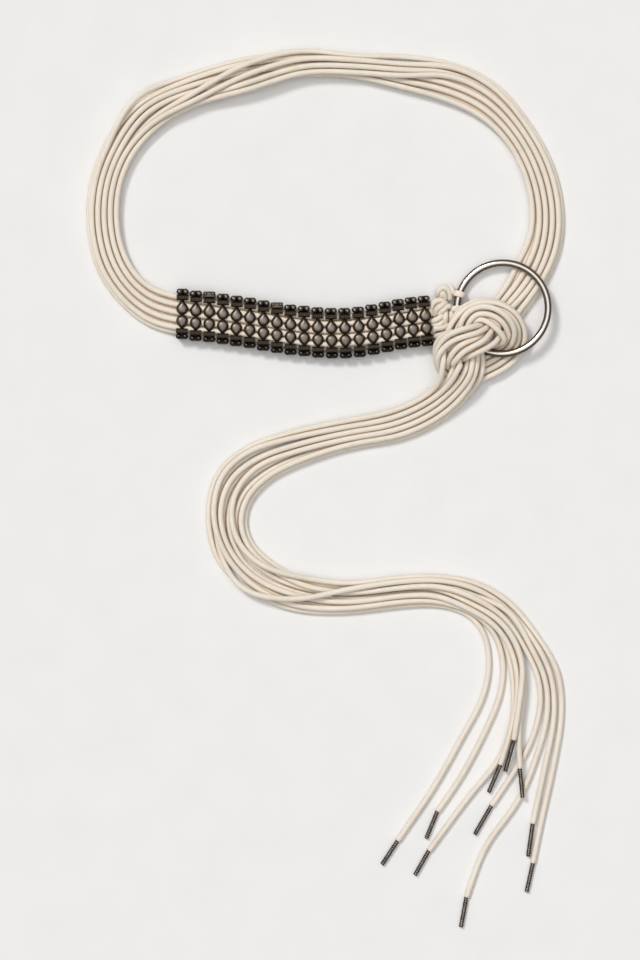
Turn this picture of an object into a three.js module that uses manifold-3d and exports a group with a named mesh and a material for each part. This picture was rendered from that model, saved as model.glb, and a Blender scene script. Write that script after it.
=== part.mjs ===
// A wrap belt, lying flat: ten limp cords run through nineteen slider castings, round the waist, through
// a knot tied on a ring, and along a tail that fans out into ten wire-wrapped tips.
// Millimetres, +Z up. The belt lies on the plane z = 0, with the origin under the middle of its outline.

import * as THREE from 'three';
import { mergeVertices } from 'three/addons/utils/BufferGeometryUtils.js';
import Module from 'manifold-3d';

const wasm = await Module();
wasm.setup();

// Plan coordinates are read off the photograph, 640 x 960 pixels, which looks straight down on the belt.
const MM_PER_PIXEL = 0.714;
const PLAN_CENTRE = { x: 324.83, y: 488.15 };

// Driving dimensions
const SEAT = 0.3;
const CORD = { diameter: 4.0, sides: 7, spacing: 4.25, levelStep: 3.7 };
const RING = { outerDiameter: 70, wire: 5.0, sides: 8, steps: 32, centre: [501.7, 308.9], height: 9.1 };
const RING_SLOPE = { x: 0.125, y: -0.05 };
const CASTING = { length: 36.4, width: 8.8, depth: 12.2, front: 2.6, back: 1.2, wall: 2.4, strut: 6.4 };
const TIP = { diameter: 3.1, sides: 7, gap: 0.6 };

// Castings, from the left: plan x and y of the middle, and the lean of its top to the left in degrees
const CASTINGS = [
  { x: 182.8, y: 314.4, lean: -1.0 },
  { x: 196.3, y: 316.3, lean: -0.6 },
  { x: 209.7, y: 317.4, lean: -0.4 },
  { x: 223.2, y: 319.4, lean: -0.8 },
  { x: 236.7, y: 321.4, lean: -1.2 },
  { x: 250.1, y: 323.3, lean: -0.8 },
  { x: 263.6, y: 326.0, lean: -0.6 },
  { x: 277.1, y: 328.2, lean: 0.0 },
  { x: 290.6, y: 330.2, lean: 0.4 },
  { x: 304.2, y: 331.4, lean: 0.8 },
  { x: 317.8, y: 332.9, lean: 1.2 },
  { x: 331.4, y: 333.6, lean: 1.6 },
  { x: 345.0, y: 333.6, lean: 2.2 },
  { x: 358.7, y: 332.4, lean: 2.8 },
  { x: 372.3, y: 330.1, lean: 3.4 },
  { x: 385.8, y: 327.4, lean: 4.0 },
  { x: 399.1, y: 324.8, lean: 4.6 },
  { x: 412.2, y: 322.8, lean: 5.0 },
  { x: 425.2, y: 321.4, lean: 5.2 },
];

// The bundle of ten cords, in the order in which they run. Each row gives the plan points of its left and
// right edges, seen along the run, and the height of the lowest cord centres.
const STATIONS = [
  { name: 'panel_end', left: [429.5, 339], right: [429.5, 303], z: 3.6 },
  { name: 'panel_right', left: [372, 348], right: [372, 312], z: 3.6 },
  { name: 'panel_mid', left: [318, 351], right: [318, 315], z: 3.6 },
  { name: 'panel_left', left: [245, 340.5], right: [245, 304.5], z: 3.6 },
  { name: 'panel_mouth', left: [176, 334.5], right: [176, 294.5], z: 3.6 },
  { name: 'hip_low', left: [149, 327], right: [153, 288], z: 2.0 },
  { name: 'hip_turn', left: [121, 304], right: [137, 276], z: 2.0 },
  { name: 'hip', left: [99, 272], right: [123, 251], z: 2.0 },
  { name: 'side_low', left: [89, 228], right: [117, 219], z: 2.0 },
  { name: 'side_high', left: [91, 180], right: [121, 187], z: 2.0 },
  { name: 'shoulder_low', left: [106.5, 140.5], right: [133.5, 156], z: 2.0 },
  { name: 'shoulder', left: [136, 102], right: [159.5, 125.5], z: 2.0 },
  { name: 'crown_left', left: [187, 79], right: [197, 104], z: 2.0 },
  { name: 'crown_mid_left', left: [243, 59], right: [248, 91], z: 2.0 },
  { name: 'crown_top', left: [302, 50.5], right: [303, 78], z: 2.0 },
  { name: 'crown_waist', left: [352, 57], right: [350, 77], z: 2.0 },
  { name: 'crown_mid_right', left: [405, 55.5], right: [399, 88.5], z: 2.0 },
  { name: 'crown_right', left: [455, 64], right: [443, 101], z: 2.0 },
  { name: 'far_shoulder', left: [496, 84], right: [480, 118], z: 2.0 },
  { name: 'far_side_high', left: [528.5, 123], right: [508, 144], z: 2.0 },
  { name: 'far_side', left: [551.5, 165.5], right: [525, 176], z: 2.0 },
  { name: 'far_hip', left: [563, 210], right: [531, 209], z: 2.0 },
  { name: 'far_hip_low', left: [561, 248], right: [528, 241], z: 2.0 },
  { name: 'under_ring_right', left: [546, 282], right: [520, 262], z: 2.0 },
  { name: 'ring_inside', left: [532, 300], right: [509, 284], z: 2.0 },
  { name: 'under_arc', left: [517, 316], right: [496, 304], z: 2.0 },
  { name: 'rise', left: [500, 337], right: [481, 321], z: 6.5 },
  { name: 'band_high', left: [482, 350], right: [468, 326], z: 16.5 },
  { name: 'band', left: [466, 357], right: [449, 334], z: 17.5 },
  { name: 'curl_start', left: [457, 361], right: [445, 350], z: 13.0 },
  { name: 'curl', left: [456, 365], right: [444, 365], z: 7.0 },
  { name: 'curl_foot', left: [459, 362], right: [454, 375], z: 2.0 },
  { name: 'under_tail', left: [468, 356], right: [470, 377], z: 2.0 },
  { name: 'low_loop', left: [482, 351], right: [490, 370], z: 2.0 },
  { name: 'under_ring_foot', left: [494, 344], right: [511, 356], z: 2.0 },
  { name: 'arc_right', left: [499, 335], right: [520, 335], z: 6.0 },
  { name: 'arc_upper_right', left: [494, 327], right: [508, 313], z: 10.2 },
  { name: 'arc_top', left: [483, 325], right: [481, 306], z: 10.4 },
  { name: 'arc_upper_left', left: [474, 328], right: [461, 317], z: 10.4 },
  { name: 'arc_left', left: [470, 338], right: [453, 333], z: 10.2 },
  { name: 'under_band', left: [472, 352], right: [451, 351], z: 10.0 },
  { name: 'tail_root', left: [471, 372], right: [450, 370], z: 10.0 },
  { name: 'tail_drop', left: [464, 395], right: [440, 386], z: 5.0 },
  { name: 'tail_bend', left: [444, 417], right: [418, 401], z: 2.0 },
  { name: 'tail_top_right', left: [404, 439], right: [385, 412], z: 2.0 },
  { name: 'tail_top', left: [352, 449], right: [340, 420], z: 2.0 },
  { name: 'tail_top_left', left: [303, 465], right: [286, 432], z: 2.0 },
  { name: 'tail_shoulder', left: [271, 481], right: [244, 447], z: 2.0 },
  { name: 'tail_turn_high', left: [251, 502], right: [216, 472], z: 2.0 },
  { name: 'tail_turn', left: [246, 524], right: [207, 518], z: 2.0 },
  { name: 'tail_turn_low', left: [255, 546], right: [217, 560], z: 2.0 },
  { name: 'tail_hip', left: [276, 563], right: [241, 590], z: 2.0 },
  { name: 'tail_foot_left', left: [309, 577], right: [286, 609], z: 2.0 },
  { name: 'tail_foot', left: [352, 581.5], right: [342, 613], z: 2.0 },
  { name: 'tail_foot_right', left: [402, 576], right: [402, 606], z: 2.0 },
  { name: 'tail_rise', left: [438, 575.5], right: [434, 605], z: 2.0 },
  { name: 'tail_split', left: [474, 588], right: [464, 611], z: 2.0 },
];

// The order of the cords across the bundle, from its left edge to its right, at the named stations, with
// null for a place left free. Between two of them the cords change places little by little. They lie on two
// levels in turn, unless a row gives the level of each place.
const ORDERS = [
  { at: 'panel_end', cords: [5, 7, 3, 1, 9, 2, 8, 6, 4, 10] },
  { at: 'side_high', cords: [5, 7, 3, 1, 9, 2, 8, 6, 4, 10] },
  { at: 'shoulder_low', cords: [5, 7, 3, 1, 9, 2, 8, 6, 4, 10], levels: [0, 1.5, 0, 1, 0, 1, 0, 1, 0, 1] },
  { at: 'shoulder', cords: [7, 5, 3, 1, 9, 2, 8, 6, 4, 10], levels: [1.5, 0.5, 0, 1, 0, 1, 0, 1, 0, 1] },
  { at: 'crown_left', cords: [7, 5, 3, 1, 9, 8, 2, 6, 4, 10], levels: [0, 1, 0, 1, 0, 2, 1, 2, 0, 1] },
  { at: 'crown_mid_left', cords: [7, 5, 8, 3, 1, 6, 9, 4, 2, 10], levels: [0, 1, 2, 0, 1, 2, 0, 2, 1, 2] },
  { at: 'crown_top', cords: [8, 7, 5, 6, 3, 1, 4, 9, 10, 2], levels: [1, 0, 1, 2, 0, 1, 2, 0, 2, 1] },
  { at: 'crown_waist', cords: [8, 7, 6, 5, 3, 4, 1, 9, 10, 2], levels: [1, 0, 2, 1, 0, 2, 1, 0, 2, 1] },
  {
    at: 'crown_mid_right', cords: [8, null, null, null, 6, 7, 4, 5, 10, 3, 1, 9, 2],
    levels: [0, 0, 0, 0, 1, 0, 2, 1, 2, 0, 1, 0, 1],
  },
  { at: 'crown_right', cords: [8, 6, 4, 10, 7, 5, 3, 1, 9, 2] },
  { at: 'tail_top', cords: [8, 6, 4, 10, 7, 5, 3, 1, 9, 2] },
  {
    at: 'tail_shoulder', cords: [8, 6, 4, null, 7, 10, 3, 5, null, 9, 1, 2],
    levels: [0, 1, 0, 0, 0, 1, 0, 1, 0, 0, 1, 0],
  },
  {
    at: 'tail_turn', cords: [8, 6, null, 4, 10, 7, null, 3, 5, 9, 1, 2],
    levels: [0, 1, 0, 0, 1, 0, 0, 0, 1, 0, 1, 0],
  },
  { at: 'tail_hip', cords: [8, 6, 10, 4, null, 7, 5, 3, 1, 2, 9], levels: [0, 1, 2, 0, 0, 0, 1, 0, 1, 0, 1] },
  {
    at: 'tail_foot_left', cords: [10, 8, 6, 4, null, 7, 5, 9, 3, 1, 2],
    levels: [1, 0, 1, 0, 0, 0, 1, 2, 0, 1, 0],
  },
  {
    at: 'tail_foot', cords: [10, 8, 9, 6, 4, null, 7, 5, 3, 1, 2],
    levels: [1, 0, 2, 1, 0, 0, 0, 1, 0, 1, 0],
  },
  { at: 'tail_split', cords: [10, 9, 8, 6, 4, 7, 5, 3, 1, 2], levels: [0, 1, 0, 2, 1, 0, 2, 0, 1, 0] },
];

// Where each cord leaves the bundle and fans out: plan x, plan y and height. The last two points are the
// ends of its tip.
const FANS = [
  [[492, 625, 2], [504, 657, 2], [501, 693, 2], [484, 734, 2], [461, 777, 2], [437.2, 811.2, 2],
    [426, 838.6, 2]],
  [[483.5, 624, 2], [490, 656, 2], [484, 695, 2], [463, 735, 2], [434, 787, 2], [397.5, 840.5, 2],
    [381.7, 864.5, 2]],
  [[495, 620, 4], [509, 651, 2], [515, 690, 2], [513, 724, 2], [500, 760, 2], [472, 793, 2],
    [428.8, 850.5, 2], [414.7, 875, 2]],
  [[503, 616, 6], [522, 657, 6], [519, 702, 8], [513, 739, 8], [504.5, 771.2, 4]],
  [[499, 619, 6], [514, 653, 3], [519, 692, 4], [512, 730, 6], [500.3, 764.2, 5], [488.4, 792.3, 2]],
  [[502, 616, 4], [524, 648, 3], [538, 677, 2], [540.5, 706, 2], [529, 747, 2], [512, 775, 2],
    [491.2, 805.6, 2], [474.4, 834.4, 2]],
  [[501, 618, 4], [517, 652, 6], [523, 686, 6], [516, 722, 8], [518.3, 767.7, 6], [522.1, 797.2, 6]],
  [[505, 614, 6], [531, 648, 5], [545, 678, 2], [547.5, 712, 2], [537, 755, 2], [518, 801, 2], [485, 847, 2],
    [466.2, 897, 2], [460.7, 927, 2]],
  [[503, 612, 2], [534, 645, 5], [550, 675, 2], [554, 714, 2], [545, 766, 2], [532.9, 823.8, 2],
    [529, 856.8, 2]],
  [[505, 609, 4], [536, 638.5, 2], [557, 672, 2], [561, 715, 2], [553, 766, 2], [540, 825, 2],
    [532.3, 863, 2], [526.3, 891.9, 2]],
];

// Macrame between the last casting and the ring: plan middle, height of the middle, and half sizes in mm
const KNOTS = [
  { name: 'macrame_knot_1', at: [443.6, 293.6], z: 4.6, half: [6.1, 5.5, 4.5], turn: 0 },
  { name: 'macrame_knot_2', at: [440.8, 308.0], z: 5.0, half: [6.5, 5.3, 4.9], turn: -6 },
  { name: 'macrame_knot_3', at: [437.4, 320.6], z: 4.6, half: [5.4, 4.1, 4.5], turn: 6 },
  { name: 'macrame_knot_4', at: [448.4, 319.8], z: 3.9, half: [2.6, 4.4, 3.8], turn: -4 },
  { name: 'macrame_knot_5', at: [440.8, 331.6], z: 3.8, half: [7.4, 4.0, 3.7], turn: 4 },
];
const KNOT_MESH = { around: 10, along: 5 };
const MACRAME_CORD = 2.8;
const RING_LOOP = { inner: RING.wire / 2 + 0.45, thickness: 1.6, width: 4.6, steps: 12 };
const MACRAME_TAIL = [
  [452, 337.4, 1.5],
  [445, 338.4, 1.5],
  [438.2, 340.6, 1.5],
  [436.2, 345.5, 1.5],
  [439.5, 350, 1.5],
];
const RING_LOOPS = [
  { name: 'ring_loop_1', angle: 161 },
  { name: 'ring_loop_2', angle: 180 },
];

// Settling of the cords on the surface, the ring and each other
const SETTLE = { rounds: 280, push: 0.5, hold: 0.06, sink: 0.02, spread: 0.35, closing: 140 };

const COLOURS = { cord: 0xe2d6bd, casting: 0x4b443e, ring: 0x8d8a86, tip: 0x3f3a36 };

function material(colour, roughness, metalness) {
  return new THREE.MeshStandardMaterial({ color: colour, roughness, metalness });
}

function place([x, y], z) {
  return new THREE.Vector3((x - PLAN_CENTRE.x) * MM_PER_PIXEL, (PLAN_CENTRE.y - y) * MM_PER_PIXEL, z);
}

// Routes of the cords

// Fraction across the bundle and level of each cord at a row of ORDERS
function slots(row) {
  const found = [];
  row.cords.forEach((cord, index) => {
    if (cord === null) return;
    found[cord] = { across: index / (row.cords.length - 1), level: row.levels?.[index] ?? index % 2 };
  });
  return found;
}

function slotAt(cord, index) {
  const rows = ORDERS.map((row) => STATIONS.findIndex((station) => station.name === row.at));
  const next = rows.findIndex((row) => row >= index);
  if (rows[next] === index) return slots(ORDERS[next])[cord];
  const t = (index - rows[next - 1]) / (rows[next] - rows[next - 1]);
  const from = slots(ORDERS[next - 1])[cord];
  const to = slots(ORDERS[next])[cord];
  return {
    across: THREE.MathUtils.lerp(from.across, to.across, t),
    level: THREE.MathUtils.lerp(from.level, to.level, t),
  };
}

// The edges of the bundle are the outer edges of its outer cords, so the centres keep a radius inside.
function bundlePoint(cord, index) {
  const station = STATIONS[index];
  const slot = slotAt(cord, index);
  const left = place(station.left, 0);
  const right = place(station.right, 0);
  const inset = CORD.diameter / 2 / left.distanceTo(right);
  const point = left.lerp(right, inset + (1 - 2 * inset) * slot.across);
  point.z = station.z + CORD.levelStep * slot.level + 0.02 * cord;
  return point;
}

function draftRoute(cord) {
  const bundle = STATIONS.map((station, index) => bundlePoint(cord, index));
  const fan = FANS[cord - 1].map(([x, y, z]) => place([x, y], z));
  return [...bundle, ...fan];
}

// Turn that lays the ring on its slope
function ringTilt() {
  const up = new THREE.Vector3(-RING_SLOPE.x, -RING_SLOPE.y, 1).normalize();
  return new THREE.Quaternion().setFromUnitVectors(new THREE.Vector3(0, 0, 1), up);
}

function ringPoint(angle, radius) {
  const point = new THREE.Vector3(Math.cos(angle) * radius, Math.sin(angle) * radius, 0);
  return point.applyQuaternion(ringTilt()).add(place(RING.centre, RING.height));
}

// Fixed things that the cords lie on or against, as lines with a radius
function obstacles() {
  const radius = (RING.outerDiameter - RING.wire) / 2;
  const reach = THREE.MathUtils.radToDeg(RING_LOOP.width / 2 / radius);
  const onRing = (degrees) => ringPoint(THREE.MathUtils.degToRad(degrees), radius);
  const found = RING_LOOPS.map((row) => ({
    points: [onRing(row.angle - reach), onRing(row.angle + reach)],
    radius: RING_LOOP.inner + RING_LOOP.thickness,
  }));
  const ring = [];
  for (let step = 0; step <= RING.steps; step += 1) {
    ring.push(ringPoint((2 * Math.PI * step) / RING.steps, radius));
  }
  found.push({ points: ring, radius: RING.wire / 2 });
  for (const knot of KNOTS) {
    const middle = place(knot.at, knot.z);
    const [long, wide] = [Math.max(knot.half[0], knot.half[1]), Math.min(knot.half[0], knot.half[1])];
    const heading = THREE.MathUtils.degToRad(knot.turn + (knot.half[0] >= knot.half[1] ? 0 : 90));
    const along = new THREE.Vector3(Math.cos(heading), Math.sin(heading), 0);
    const reach = along.multiplyScalar(long - wide + 0.01);
    const thick = Math.max(wide, knot.half[2]);
    found.push({ points: [middle.clone().sub(reach), middle.clone().add(reach)], radius: thick });
  }
  found.push({ points: MACRAME_TAIL.map(([x, y, z]) => place([x, y], z)), radius: MACRAME_CORD / 2 });
  return found.map((line) => ({ ...line, fixed: true }));
}

const clamp01 = (value) => Math.min(1, Math.max(0, value));

// Fractions along two segments at which they come closest
function closest(p0, p1, q0, q1) {
  const u = p1.clone().sub(p0);
  const v = q1.clone().sub(q0);
  const w = p0.clone().sub(q0);
  const [a, b, c, d, e] = [u.dot(u), u.dot(v), v.dot(v), u.dot(w), v.dot(w)];
  const det = a * c - b * b;
  let s = det > 1e-9 * a * c ? clamp01((b * e - c * d) / det) : 0.5;
  const t = clamp01((b * s + e) / c);
  s = clamp01((b * t - d) / a);
  return [s, t];
}

function nearEnough(p0, p1, q0, q1, reach) {
  for (const axis of ['x', 'y', 'z']) {
    if (Math.min(p0[axis], p1[axis]) - reach > Math.max(q0[axis], q1[axis])) return false;
    if (Math.min(q0[axis], q1[axis]) - reach > Math.max(p0[axis], p1[axis])) return false;
  }
  return true;
}

// Adds the moves that part two segments, shared between their ends
function part(a, i, b, j, apart, moves) {
  const [p0, p1, q0, q1] = [a.points[i], a.points[i + 1], b.points[j], b.points[j + 1]];
  if (!nearEnough(p0, p1, q0, q1, apart)) return;
  const [s, t] = closest(p0, p1, q0, q1);
  const gap = p0.clone().lerp(p1, s).sub(q0.clone().lerp(q1, t));
  const distance = gap.length();
  if (distance >= apart || distance < 1e-6) return;
  const share = b.fixed ? 1 : 0.5;
  gap.multiplyScalar((share * (apart - distance)) / distance);
  moves[a.index][i].addScaledVector(gap, 1 - s);
  moves[a.index][i + 1].addScaledVector(gap, s);
  if (b.fixed) return;
  moves[b.index][j].addScaledVector(gap, t - 1);
  moves[b.index][j + 1].addScaledVector(gap, -t);
}

function contacts(cords, fixed, moves) {
  for (const a of cords) {
    for (const b of cords) {
      if (b.index < a.index) continue;
      for (let i = 0; i < a.points.length - 1; i += 1) {
        const start = a === b ? i + 3 : 0;
        for (let j = start; j < b.points.length - 1; j += 1) part(a, i, b, j, CORD.spacing, moves);
      }
    }
    for (const b of fixed) {
      const apart = b.radius + CORD.diameter / 2 + SEAT;
      for (let i = 0; i < a.points.length - 1; i += 1) {
        for (let j = 0; j < b.points.length - 1; j += 1) part(a, i, b, j, apart, moves);
      }
    }
  }
}

// Evens out how far neighbouring points have been moved from the drafted route
function spreadMoves(cord) {
  const shift = cord.points.map((point, i) => point.clone().sub(cord.draft[i]));
  for (let i = cord.pinned; i < shift.length - 1; i += 1) {
    const mean = shift[i - 1].clone().add(shift[i + 1]).multiplyScalar(0.5);
    cord.points[i].addScaledVector(mean.sub(shift[i]), SETTLE.spread);
  }
}

function settle(drafts, fixed) {
  const pinned = STATIONS.findIndex((station) => station.name === 'panel_mouth');
  const cords = drafts.map((draft, index) => (
    { index, draft, pinned, fixed: false, points: draft.map((point) => point.clone()) }
  ));
  for (let round = 0; round < SETTLE.rounds; round += 1) {
    const closing = round >= SETTLE.rounds - SETTLE.closing;
    const moves = cords.map((cord) => cord.points.map(() => new THREE.Vector3()));
    contacts(cords, fixed, moves);
    for (const cord of cords) {
      cord.points.forEach((point, i) => {
        if (i < cord.pinned) return;
        point.addScaledVector(moves[cord.index][i], SETTLE.push);
        if (!closing) {
          point.lerp(cord.draft[i], SETTLE.hold);
          point.z -= SETTLE.sink;
        }
        point.z = Math.max(point.z, CORD.diameter / 2);
      });
      if (!closing) spreadMoves(cord);
    }
  }
  return cords.map((cord) => cord.points);
}

// Solids

// A line of points taken as it is, so that a tube along it has one section at each point
class Route extends THREE.Curve {
  constructor(points) {
    super();
    this.points = points;
  }

  getPoint(t, target = new THREE.Vector3()) {
    const steps = this.points.length - 1;
    const index = Math.min(Math.floor(t * steps + 1e-9), steps - 1);
    return target.lerpVectors(this.points[index], this.points[index + 1], t * steps - index);
  }

  getTangent(t, target = new THREE.Vector3()) {
    const steps = this.points.length - 1;
    const index = Math.round(t * steps);
    const before = this.points[Math.max(index - 1, 0)];
    const here = this.points[index];
    const after = this.points[Math.min(index + 1, steps)];
    const arriving = here.clone().sub(before).normalize();
    const leaving = after.clone().sub(here).normalize();
    return target.addVectors(arriving, leaving).normalize();
  }

  getUtoTmapping(u) {
    return u;
  }
}

function roundSection(diameter, sides) {
  const corners = [];
  for (let side = 0; side < sides; side += 1) {
    const angle = (2 * Math.PI * (side + 0.5)) / sides;
    corners.push(new THREE.Vector2((Math.cos(angle) * diameter) / 2, (Math.sin(angle) * diameter) / 2));
  }
  return new THREE.Shape(corners);
}

function tube(points, diameter, sides) {
  return new THREE.ExtrudeGeometry(roundSection(diameter, sides), {
    steps: points.length - 1,
    bevelEnabled: false,
    extrudePath: new Route(points),
  });
}

function named(name, geometry, look) {
  const mesh = new THREE.Mesh(geometry, look);
  mesh.name = name;
  return mesh;
}

function toSolid(geometry) {
  const bare = geometry.clone();
  bare.deleteAttribute('normal');
  bare.deleteAttribute('uv');
  const merged = mergeVertices(bare, 1e-4);
  return new wasm.Manifold(new wasm.Mesh({
    numProp: 3,
    vertProperties: new Float32Array(merged.attributes.position.array),
    triVerts: new Uint32Array(merged.index.array),
  }));
}

function toGeometry(solid) {
  const mesh = solid.getMesh();
  const geometry = new THREE.BufferGeometry();
  geometry.setAttribute('position', new THREE.BufferAttribute(new Float32Array(mesh.vertProperties), 3));
  geometry.setIndex(new THREE.BufferAttribute(new Uint32Array(mesh.triVerts), 1));
  return geometry;
}

// The ornament of a casting, as its half outline from the middle to the top: x across, y along
function ornamentShape() {
  const bar = CASTING.width / 2;
  const top = CASTING.length / 2;
  const quarter = [[2.4, 0], [bar - 0.15, 3.4], [1.1, 11.4], [bar, 11.4], [bar - 0.4, top]];
  const upperRight = quarter.map(([x, y]) => new THREE.Vector2(x, y));
  const upperLeft = quarter.map(([x, y]) => new THREE.Vector2(-x, y)).reverse();
  const lowerLeft = quarter.slice(1).map(([x, y]) => new THREE.Vector2(-x, -y));
  const lowerRight = quarter.slice(1).map(([x, y]) => new THREE.Vector2(x, -y)).reverse();
  return new THREE.Shape([...upperRight, ...upperLeft, ...lowerLeft, ...lowerRight]);
}

// End walls and back of a casting, which close the tunnel for the cords
function tunnelGeometry() {
  const end = CASTING.length / 2 - 0.4;
  const inside = end - CASTING.wall;
  const roof = CASTING.depth - CASTING.front + 0.6;
  const outline = new THREE.Shape([
    new THREE.Vector2(-end, 0),
    new THREE.Vector2(end, 0),
    new THREE.Vector2(end, roof),
    new THREE.Vector2(inside, roof),
    new THREE.Vector2(inside, CASTING.back),
    new THREE.Vector2(-inside, CASTING.back),
    new THREE.Vector2(-inside, roof),
    new THREE.Vector2(-end, roof),
  ]);
  const body = new THREE.ExtrudeGeometry(outline, { depth: CASTING.strut, bevelEnabled: false });
  body.translate(0, 0, -CASTING.strut / 2);
  const across = new THREE.Matrix4().makeBasis(
    new THREE.Vector3(0, 1, 0),
    new THREE.Vector3(0, 0, 1),
    new THREE.Vector3(1, 0, 0),
  );
  return body.applyMatrix4(across);
}

function castingGeometry() {
  const front = new THREE.ExtrudeGeometry(ornamentShape(), { depth: CASTING.front, bevelEnabled: false });
  front.translate(0, 0, CASTING.depth - CASTING.front);
  return toGeometry(toSolid(front).add(toSolid(tunnelGeometry())));
}

function castings() {
  const geometry = castingGeometry();
  return CASTINGS.map((row, index) => {
    const look = material(COLOURS.casting, 0.42, 0.85);
    const mesh = named(`casting_${String(index + 1).padStart(2, '0')}`, geometry, look);
    mesh.position.copy(place([row.x, row.y], 0));
    mesh.rotation.z = THREE.MathUtils.degToRad(row.lean);
    return mesh;
  });
}

function ringMesh() {
  const radius = (RING.outerDiameter - RING.wire) / 2;
  const geometry = new THREE.TorusGeometry(radius, RING.wire / 2, RING.sides, RING.steps);
  const mesh = named('ring', geometry, material(COLOURS.ring, 0.35, 0.95));
  mesh.position.copy(place(RING.centre, RING.height));
  mesh.quaternion.copy(ringTilt());
  return mesh;
}

function ringLoops() {
  const radius = (RING.outerDiameter - RING.wire) / 2;
  const outer = RING_LOOP.inner + RING_LOOP.thickness;
  const half = RING_LOOP.width / 2;
  const profile = [
    [RING_LOOP.inner, -half + 0.5],
    [outer - 0.5, -half],
    [outer, -half + 0.8],
    [outer, half - 0.8],
    [outer - 0.5, half],
    [RING_LOOP.inner, half - 0.5],
    [RING_LOOP.inner, -half + 0.5],
  ].map(([x, y]) => new THREE.Vector2(x, y));
  return RING_LOOPS.map((row) => {
    const geometry = new THREE.LatheGeometry(profile, RING_LOOP.steps);
    const mesh = named(row.name, geometry, material(COLOURS.cord, 0.8, 0));
    const angle = THREE.MathUtils.degToRad(row.angle);
    mesh.position.copy(ringPoint(angle, radius));
    const along = ringPoint(angle + 0.01, radius).sub(ringPoint(angle - 0.01, radius)).normalize();
    mesh.quaternion.setFromUnitVectors(new THREE.Vector3(0, 1, 0), along);
    return mesh;
  });
}

function knotMeshes() {
  return KNOTS.map((row) => {
    const geometry = new THREE.SphereGeometry(1, KNOT_MESH.around, KNOT_MESH.along);
    geometry.rotateX(Math.PI / 2);
    geometry.scale(...row.half);
    const mesh = named(row.name, geometry, material(COLOURS.cord, 0.8, 0));
    mesh.position.copy(place(row.at, row.z));
    mesh.rotation.z = THREE.MathUtils.degToRad(row.turn);
    return mesh;
  });
}

function cordAndTip(points, index) {
  const number = String(index + 1).padStart(2, '0');
  const tipStart = points[points.length - 2];
  const tipEnd = points[points.length - 1];
  const heading = tipEnd.clone().sub(tipStart).normalize();
  const cordEnd = tipStart.clone().addScaledVector(heading, -TIP.gap);
  const route = [...points.slice(0, -2), cordEnd];
  const cord = tube(route, CORD.diameter, CORD.sides);
  const tip = tube([tipStart, tipEnd], TIP.diameter, TIP.sides);
  return [
    named(`cord_${number}`, cord, material(COLOURS.cord, 0.8, 0)),
    named(`tip_${number}`, tip, material(COLOURS.tip, 0.45, 0.8)),
  ];
}

function macrameTail() {
  const points = MACRAME_TAIL.map(([x, y, z]) => place([x, y], z));
  return named('macrame_tail', tube(points, MACRAME_CORD, 8), material(COLOURS.cord, 0.8, 0));
}

const drafts = Array.from({ length: 10 }, (unused, index) => draftRoute(index + 1));
const routes = settle(drafts, obstacles());

const belt = new THREE.Group();
belt.name = 'wrap_belt';
belt.add(...castings(), ringMesh(), ...ringLoops(), ...knotMeshes(), macrameTail());
routes.forEach((points, index) => belt.add(...cordAndTip(points, index)));

export default belt;
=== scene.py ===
import math

import bpy
import numpy as np
from mathutils import Matrix, Vector


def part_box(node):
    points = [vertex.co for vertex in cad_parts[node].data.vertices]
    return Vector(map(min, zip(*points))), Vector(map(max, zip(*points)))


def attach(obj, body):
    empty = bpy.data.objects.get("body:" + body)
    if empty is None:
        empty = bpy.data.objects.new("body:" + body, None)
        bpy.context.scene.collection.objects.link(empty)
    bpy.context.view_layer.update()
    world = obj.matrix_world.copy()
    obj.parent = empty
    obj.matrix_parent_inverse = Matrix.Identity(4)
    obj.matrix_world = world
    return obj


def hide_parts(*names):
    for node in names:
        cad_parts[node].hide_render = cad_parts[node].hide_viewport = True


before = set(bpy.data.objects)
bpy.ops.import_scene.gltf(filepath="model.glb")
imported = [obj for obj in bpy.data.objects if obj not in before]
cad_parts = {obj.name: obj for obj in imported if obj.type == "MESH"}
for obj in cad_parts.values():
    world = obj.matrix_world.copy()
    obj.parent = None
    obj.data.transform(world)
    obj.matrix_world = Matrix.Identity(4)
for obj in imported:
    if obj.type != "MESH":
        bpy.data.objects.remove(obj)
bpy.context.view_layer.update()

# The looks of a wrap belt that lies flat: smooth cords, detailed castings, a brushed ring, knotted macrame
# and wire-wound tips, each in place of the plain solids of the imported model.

MM = 0.001
IMAGE_WIDTH = 640
IMAGE_HEIGHT = 960

# Plan coordinates are pixels of the photograph, which looks straight down on the belt
MM_PER_PIXEL = 0.714
PLAN_CENTRE = (324.83, 488.15)

# Sizes in millimetres
SEAT = 0.3
CORD = {"diameter": 4.0, "spacing": 4.25, "level_step": 3.7, "level_lift": 0.02, "dome": 0.6}
RING = {"outer_diameter": 70, "wire": 5.0, "steps": 32, "centre": (501.7, 308.9), "height": 9.1}
RING_SLOPE = (0.125, -0.05)
RING_RADIUS = (RING["outer_diameter"] - RING["wire"]) / 2
TIP = {"diameter": 3.1, "gap": 0.6, "overlap": 1.0}
CASTING = {"length": 36.4, "width": 8.8, "depth": 12.2, "front": 2.6, "back": 1.2, "wall": 2.4, "strut": 6.4}

# Lean of each casting's top to the left, in degrees, from the left end of the panel
LEANS = [-1.0, -0.6, -0.4, -0.8, -1.2, -0.8, -0.6, 0.0, 0.4, 0.8, 1.2, 1.6, 2.2, 2.8, 3.4, 4.0, 4.6, 5.0, 5.2]

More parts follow.
